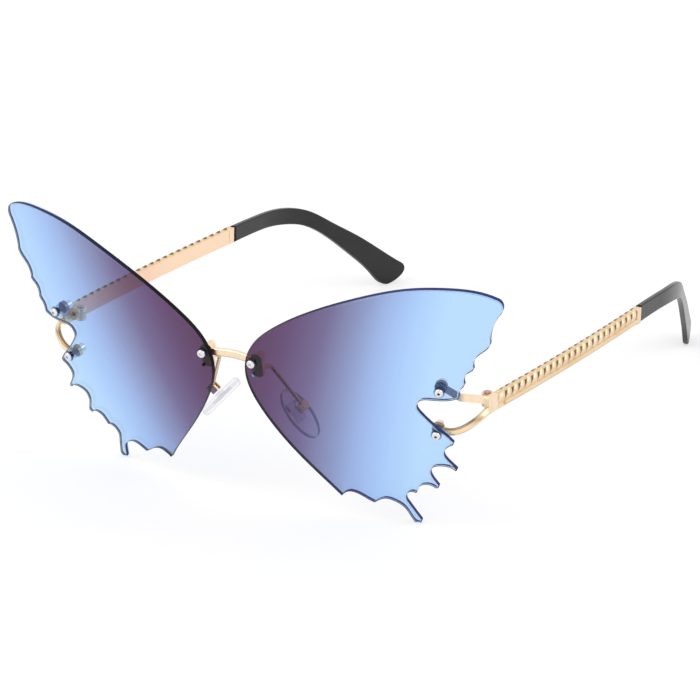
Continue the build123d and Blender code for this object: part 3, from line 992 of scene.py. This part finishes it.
@dataclass
class LensScrews:
    """The six domed screws of the lenses, one tree that sets a turned screw on each seat."""

    frame: LensFrame
    head_radius: float = 1.06
    head_height: float = 0.73
    washer: float = 0.25
    shank_radius: float = 0.5
    shank_length: float = 4.2
    brim: float = 0.16
    dome_steps: int = 6
    socket_radius: float = 0.3
    # The socket's rings: share of its radius, depth below the top, and share of its painted shade
    socket_rings: tuple = (
        (0.0, 0.32, 1.0), (0.72, 0.32, 1.0), (0.95, 0.2, 1.0), (1.1, 0.02, 0.4), (1.35, 0.0, 0.0),
    )
    facets: int = 28
    places: tuple = (
        ("inner", (-0.467, 0.121)), ("upper", (0.250, 0.120)), ("lower", (0.227, -0.060)),
    )

    def profile(self) -> list[tuple[float, float, float]]:
        """The turned profile, from its top down.

        Returns:
            Each ring's radius, height over the washer and share of the socket's painted shade.
        """
        head = [
            (self.socket_radius * wide, self.head_height - deep, dark)
            for wide, deep, dark in self.socket_rings
        ]
        lip = head[-1][0]
        for i in range(1, self.dome_steps + 1):
            turn = i / self.dome_steps * pi / 2
            radius = lip + (self.head_radius - lip) * sin(turn)
            head.append((radius, self.brim + (self.head_height - self.brim) * cos(turn), 0.0))
        return head + [
            (self.head_radius, 0.0, 0.0), (self.shank_radius, 0.0, 0.0),
            (self.shank_radius, -self.shank_length, 0.0), (0.0, -self.shank_length, 0.0),
        ]

    def prototype(self) -> Object:
        """Turns one screw at the origin, its socket marked by an attribute.

        Returns:
            The screw.
        """
        shell = bmesh.new()
        mark = shell.verts.layers.float.new("socket")
        rings = []
        for radius, height, share in self.profile():
            count = self.facets if radius else 1
            ring = []
            for i in range(count):
                turn = 2 * pi * i / count
                place = (radius * cos(turn) * MM, radius * sin(turn) * MM, height * MM)
                vert = shell.verts.new(place)
                vert[mark] = share
                ring.append(vert)
            rings.append(ring)
        for upper, lower in zip(rings, rings[1:]):
            for i in range(self.facets):
                j = (i + 1) % self.facets
                corners = [
                    upper[i % len(upper)], lower[i % len(lower)],
                    lower[j % len(lower)], upper[j % len(upper)],
                ]
                shell.faces.new(list(dict.fromkeys(corners)))
        mesh = bpy.data.meshes.new("screw_pattern")
        shell.to_mesh(mesh)
        shell.free()
        mesh.polygons.foreach_set("use_smooth", [True] * len(mesh.polygons))
        return add_object("screw_pattern", mesh)

    def build(self, material: Material) -> None:
        """Sets the screws and lets them stand for the CAD ones.

        Args:
            material: Their finish.
        """
        pattern = self.prototype()
        carrier = bpy.data.meshes.new("screw_seats")
        seats = [
            (side.mirrored(place + normal * self.washer) * MM, side.mirrored(normal))
            for side in Side
            for _, share in self.places
            for place, normal in [self.frame.seat(share)]
        ]
        carrier.from_pydata([place for place, _ in seats], [], [])
        facing = carrier.attributes.new("facing", "FLOAT_VECTOR", "POINT")
        facing.data.foreach_set("vector", [part for _, normal in seats for part in normal])
        tree = GrowTree("lens_screw_tree")
        tree.declare({"Pattern": pattern, "Grow": 1.0})
        normal = tree.node(
            "GeometryNodeInputNamedAttribute", {"Name": "facing"}, {"data_type": "FLOAT_VECTOR"}
        )
        turned = tree.node(
            "FunctionNodeAlignRotationToVector", {"Vector": normal.outputs[0]}, {"axis": "Z"}
        )
        screw = tree.node("GeometryNodeObjectInfo", {"Object": tree.entry.outputs["Pattern"]})
        grow = tree.size("Grow")
        placed = tree.placed(
            tree.entry.outputs[0], screw, turned.outputs[0], Scale=tree.join(grow, grow, grow)
        )
        piece = tree.run("lens_screws", carrier, placed.outputs[0], material)
        bpy.data.objects.remove(pattern)
        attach(piece, "front")
        names = [f"lens_screw_{word}_{side.word}" for word, _ in self.places for side in Side]
        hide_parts(*names)
        log.info("lens screws: %d faces", len(piece.data.polygons))


@dataclass
class TempleRope:
    """The rope of slanted links on each temple's outer face, which follows the bowed bar."""

    outer_x: float = 58.673
    hinge_y: float = -55.5425
    hinge_height: float = 32.45
    length: float = 73.9
    drop_over: float = 3.1
    toe_in: float = 0.1
    bow: float = 0.65
    count: int = 23
    pitch: float = 3.1
    first: float = 1.5
    link_length: float = 4.7
    link_width: float = 2.5
    lean: float = 52.0
    sink: float = 0.6
    lift: float = 0.6
    grow: float = 0.05
    sway: float = 0.16
    back: float = 0.5
    link_rings: int = 17
    link_facets: int = 16
    merge: float = 0.0005

    def axes(self) -> tuple[Vector, Vector, Vector, Vector]:
        """Frame of the right temple's outer face.

        Returns:
            Its origin, then its directions along, outwards and up.
        """
        drop, toe = atan2(self.drop_over, self.length), radians(self.toe_in)
        along = Vector((-sin(toe) * cos(drop), cos(toe) * cos(drop), -sin(drop)))
        out = Vector((cos(toe), sin(toe), 0))
        return Vector((self.outer_x, self.hinge_y, self.hinge_height)), along, out, out.cross(along)

    def links(self, side: Side, material: Material) -> Object:
        """One temple's links.

        Args:
            side: The half.
            material: Their finish.

        Returns:
            The piece.
        """
        tree = GrowTree("rope_tree_" + side.word)
        tree.declare({
            "Count": self.count, "Pitch": self.pitch, "First": self.first,
            "Link Length": self.link_length, "Link Width": self.link_width,
            "Lean": radians(self.lean), "Sink": self.sink, "Lift": self.lift, "Grow": self.grow,
            "Sway": self.sway, "Back": self.back, "Bow": self.bow, "Bar Length": self.length,
        })
        axis = tree.node("GeometryNodeCurvePrimitiveLine", {"Start": (0, 0, 0), "End": (1, 0, 0)})
        fine = tree.node(
            "GeometryNodeResampleCurve", {"Curve": axis.outputs[0], "Count": self.link_rings}
        )
        size = tree.size
        t = Num(tree, tree.node("GeometryNodeSplineParameter").outputs["Factor"])
        rest = 1 - t
        # A Bezier from end to end of the link, as its CAD profile has, from -1/2 to 1/2
        run = (t * t * t - rest * rest * rest + t * rest * (t - rest) * 1.5) / 2
        wave = (t * (2 * pi)).math("SINE", t * (2 * pi))
        run = run * (size("Link Length") + size("Grow") * 2)
        bent = tree.moved(fine, tree.join(run, wave * size("Sway"), 0.0))
        thick = size("Link Width") * t * rest * 2 + size("Grow")
        profile = tree.circle(self.link_facets, 1.0)
        link = tree.node(
            "GeometryNodeCurveToMesh",
            {0: bent.outputs[0], 1: profile, "Scale": thick, "Fill Caps": True},
        )
        x, y, z = tree.position()
        flat = tree.moved(link, tree.join(x, y, z.math("MAXIMUM", z, 0.0 - size("Back"))))
        lean = tree.join(0.0, 0.0, size("Lean"))
        leaned = tree.node("GeometryNodeTransform", {"Geometry": flat.outputs[0], "Rotation": lean})
        first, pitch = (tree.join(size(name), 0.0, 0.0) for name in ("First", "Pitch"))
        row = tree.node(
            "GeometryNodeMeshLine",
            {"Count": size("Count"), "Start Location": first, "Offset": pitch},
        )
        place = tree.position()[0]
        share = place / size("Bar Length")
        stand = share * (1 - share) * size("Bow") * 4
        bowed = tree.moved(row, tree.join(place, size("Lift"), stand - size("Sink")))
        slope = (1 - share * 2) * size("Bow") * 4 / size("Bar Length")
        placed = tree.placed(bowed.outputs[0], leaned, tree.join(0.0, 0.0 - slope, 0.0))
        real = tree.node("GeometryNodeRealizeInstances", {0: placed.outputs[0]})
        smooth = tree.node("GeometryNodeSetShadeSmooth", {"Geometry": real.outputs[0]})
        carrier = bpy.data.meshes.new("rope_carrier")
        piece = tree.run("rope_links_" + side.word, carrier, smooth.outputs[0], material)
        origin, along_dir, out_dir, up_dir = self.axes()
        turn = Matrix((along_dir, up_dir, out_dir)).transposed().to_4x4()
        mirror = Matrix.Diagonal((side.value * MM, MM, MM, 1.0))
        piece.data.transform(mirror @ Matrix.Translation(origin) @ turn)
        return piece

    def build(self, materials: dict[Side, Material]) -> None:
        """Adds both ropes.

        Args:
            materials: Each half's finish.
        """
        for side in Side:
            piece = self.links(side, materials[side])
            face_outwards(piece, self.merge)
            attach(piece, "temple_assembly_" + side.word)
            log.info("rope %s: %d faces", side.word, len(piece.data.polygons))


@dataclass
class Studio:
    """Pale floor, white surroundings, two soft lamps and the photograph's camera."""

    azimuth: float = 29.86
    elevation: float = 21.28
    distance: float = 980.98
    target: tuple = (35.11, -82.95, 49.74)
    lens: float = 223.3
    sensor: float = 36.0
    clip: tuple = (0.01, 20)
    fill: float = 0.84
    floor_half: float = 1.6
    floor_rows: int = 8
    floor_glow: float = 0.55
    floor_strength: float = 1.03
    floor_haze: float = 3.0
    floor_colours: tuple = ((0.97, 0.97, 0.975), (0.96, 0.96, 0.965))
    # Each lamp's name, place in metres, side in metres and power in watts, and what all aim at
    lamps: tuple = (
        ("key_lamp", (-0.55, -0.75, 0.95), 0.7, 4.0), ("side_lamp", (0.9, 0.1, 0.7), 0.7, 2.5),
    )
    aim: tuple = (0, 0, 0.03)

    def camera(self) -> None:
        """Places the camera."""
        az, el = radians(self.azimuth), radians(self.elevation)
        back = Vector((sin(az) * cos(el), -cos(az) * cos(el), sin(el)))
        right = Vector((cos(az), sin(az), 0))
        up = back.cross(right)
        data = bpy.data.cameras.new("photo_camera")
        data.lens, data.sensor_width = self.lens, self.sensor
        data.clip_start, data.clip_end = self.clip
        eye = add_object("photo_camera", data)
        turn = Matrix((right, up, back)).transposed().to_4x4()
        place = (Vector(self.target) + back * self.distance) * MM
        eye.matrix_world = Matrix.Translation(place) @ turn
        bpy.context.scene.camera = eye

    def world(self) -> None:
        """White for what the camera sees directly, in gloss or through glass; softer as light."""
        world = bpy.data.worlds.new("white_surround")
        world.use_nodes = True
        bpy.context.scene.world = world
        sheet = NodeSheet(world.node_tree)
        rays = sheet.node("ShaderNodeLightPath")
        seen = Num(sheet, rays.outputs["Is Camera Ray"])
        for kind in ("Glossy", "Transmission"):
            seen = seen.math("MAXIMUM", seen, Num(sheet, rays.outputs[f"Is {kind} Ray"]))
        power = seen * (1 - self.fill) + self.fill
        glow = sheet.node("ShaderNodeBackground", {"Color": (1, 1, 1, 1), "Strength": power})
        sheet.node("ShaderNodeOutputWorld", {"Surface": glow.outputs[0]})

    def floor(self) -> None:
        """A plain pale floor that keeps the shadow."""
        sheet = Finish("pale_floor")
        pale = sheet.blend(sheet.noise(self.floor_haze, 1), *self.floor_colours)
        matt = sheet.node("ShaderNodeBsdfDiffuse", {"Color": pale})
        glow = sheet.node(
            "ShaderNodeEmission", {"Color": (1, 1, 1, 1), "Strength": self.floor_strength}
        )
        rays = sheet.node("ShaderNodeLightPath")
        seen = Num(sheet, rays.outputs["Is Camera Ray"]) * self.floor_glow
        sheet.done(sheet.mix(seen, matt, glow))
        mesh = bpy.data.meshes.new("floor")
        half, rows = self.floor_half, self.floor_rows
        ticks = [-half + 2 * half * i / rows for i in range(rows + 1)]
        corners = [(x, y, 0.0) for y in ticks for x in ticks]
        wide = rows + 1
        faces = [
            (r * wide + c, r * wide + c + 1, (r + 1) * wide + c + 1, (r + 1) * wide + c)
            for r in range(rows) for c in range(rows)
        ]
        mesh.from_pydata(corners, [], faces)
        mesh.materials.append(sheet.material)
        add_object("floor", mesh)

    def light(self) -> None:
        """Hangs the soft lamps."""
        for name, place, width, power in self.lamps:
            data = bpy.data.lights.new(name, "AREA")
            data.size, data.energy = width, power
            towards = Vector(self.aim) - Vector(place)
            turn = towards.to_track_quat("-Z", "Y").to_matrix().to_4x4()
            add_object(name, data).matrix_world = Matrix.Translation(place) @ turn

    def build(self) -> None:
        """Builds all of it."""
        self.camera()
        self.world()
        self.floor()
        self.light()
        bpy.context.scene.view_settings.view_transform = "Standard"
        log.info("studio: camera, floor, surroundings and lamps")


def dress(node: Object, material: Material) -> None:
    """Gives a CAD node a finish through its own slots.

    Args:
        node: The node.
        material: The finish.
    """
    if not node.material_slots:
        node.data.materials.append(material)
    for slot in node.material_slots:
        slot.link = "OBJECT"
        slot.material = material


def face_outwards(piece: Object, merge: float) -> None:
    """Merges a mesh's doubles and turns its faces out.

    Args:
        piece: The piece.
        merge: Distance in millimetres at which two points are one.
    """
    shell = bmesh.new()
    shell.from_mesh(piece.data)
    bmesh.ops.remove_doubles(shell, verts=shell.verts, dist=merge * MM)
    bmesh.ops.recalc_face_normals(shell, faces=shell.faces)
    shell.to_mesh(piece.data)
    shell.free()


def dress_metal_and_plastic(nodes: dict[str, Object], roped: dict[Side, Material]) -> None:
    """Finishes of the CAD nodes other than the lenses.

    Args:
        nodes: The CAD nodes.
        roped: Finish of each temple.
    """
    gold = GoldPlate().make("gold_plate")
    arms = GoldPlate().make_arms("gold_arms")
    rosy = GoldPlate(base=(206, 170, 148), warm=(184, 142, 120), shade=(120, 90, 70))
    steel = PolishedSteel().make("polished_steel", False)
    # Painted shade: the washers and inner sleeves are dark smoky plastic, for the dark ring of
    # shade around the screws
    washer = ClearPart(
        through=(0.78, 0.8, 0.86), body=(70, 76, 98), least=0.22, most=0.95, rough=0.16, rise=2.5
    ).make("smoky_plastic")
    spacer = ClearPart(
        through=(0.86, 0.9, 0.95), body=(150, 166, 192), least=0.12, most=0.75, rise=3.0
    ).make("clear_spacer")
    insert = ClearPart(
        through=(0.992, 0.992, 0.995), body=(206, 204, 214), least=0.02, most=0.25, rough=0.2,
        rise=4.0,
    ).make("veiled_insert")
    pads = {
        side: ClearPart().make("clear_silicone_" + side.word, side, rim_shade_share)
        for side, rim_shade_share in ((Side.RIGHT, 0.6), (Side.LEFT, 0.07))
    }
    acetate = DarkAcetate().make("dark_acetate")
    finishes = {
        "endpiece": arms, "nose_pad_arm": gold, "nose_pad_lug": insert, "nose_pad_screw": steel,
        "hinge_screw": rosy.make_hinge("rosy_screw"), "temple_tip": acetate,
        "lens_nut_inner": gold, "lens_nut_upper": steel, "lens_nut_lower": steel,
    }
    for place in ("inner", "upper", "lower"):
        finishes |= {
            "lens_washer_" + place: washer, "lens_screw_" + place: steel,
            "lens_sleeve_" + place: washer if place == "inner" else spacer,
        }
    dress(nodes["bridge"], GoldPlate().make_bridge("gold_bridge", LensFrame()))
    for side in Side:
        for word, finish in finishes.items():
            dress(nodes[f"{word}_{side.word}"], finish)
        dress(nodes["nose_pad_" + side.word], pads[side])
        dress(nodes["temple_" + side.word], roped[side])
        log.info("dressed the metal and plastic of the %s half", side.word)


def main() -> None:
    """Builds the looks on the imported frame, in order."""
    logging.basicConfig(level=logging.INFO, format="%(name)s: %(message)s")
    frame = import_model()
    nodes = frame["nodes"]
    Studio().build()
    lens_frame, rope = LensFrame(), TempleRope()
    plate = GoldPlate(base=(238, 214, 181), warm=(231, 202, 162))
    roped = {side: plate.make_roped("roped_gold_" + side.word, side, rope) for side in Side}
    dress_metal_and_plastic(nodes, roped)
    line = PolishedBevel().make("polished_bevel")
    Lenses(lens_frame, TintedLens()).build(nodes, line)
    LensScrews(lens_frame).build(PolishedSteel().make("screw_steel", True))
    rope.build(roped)


if __name__ == "__main__":
    main()
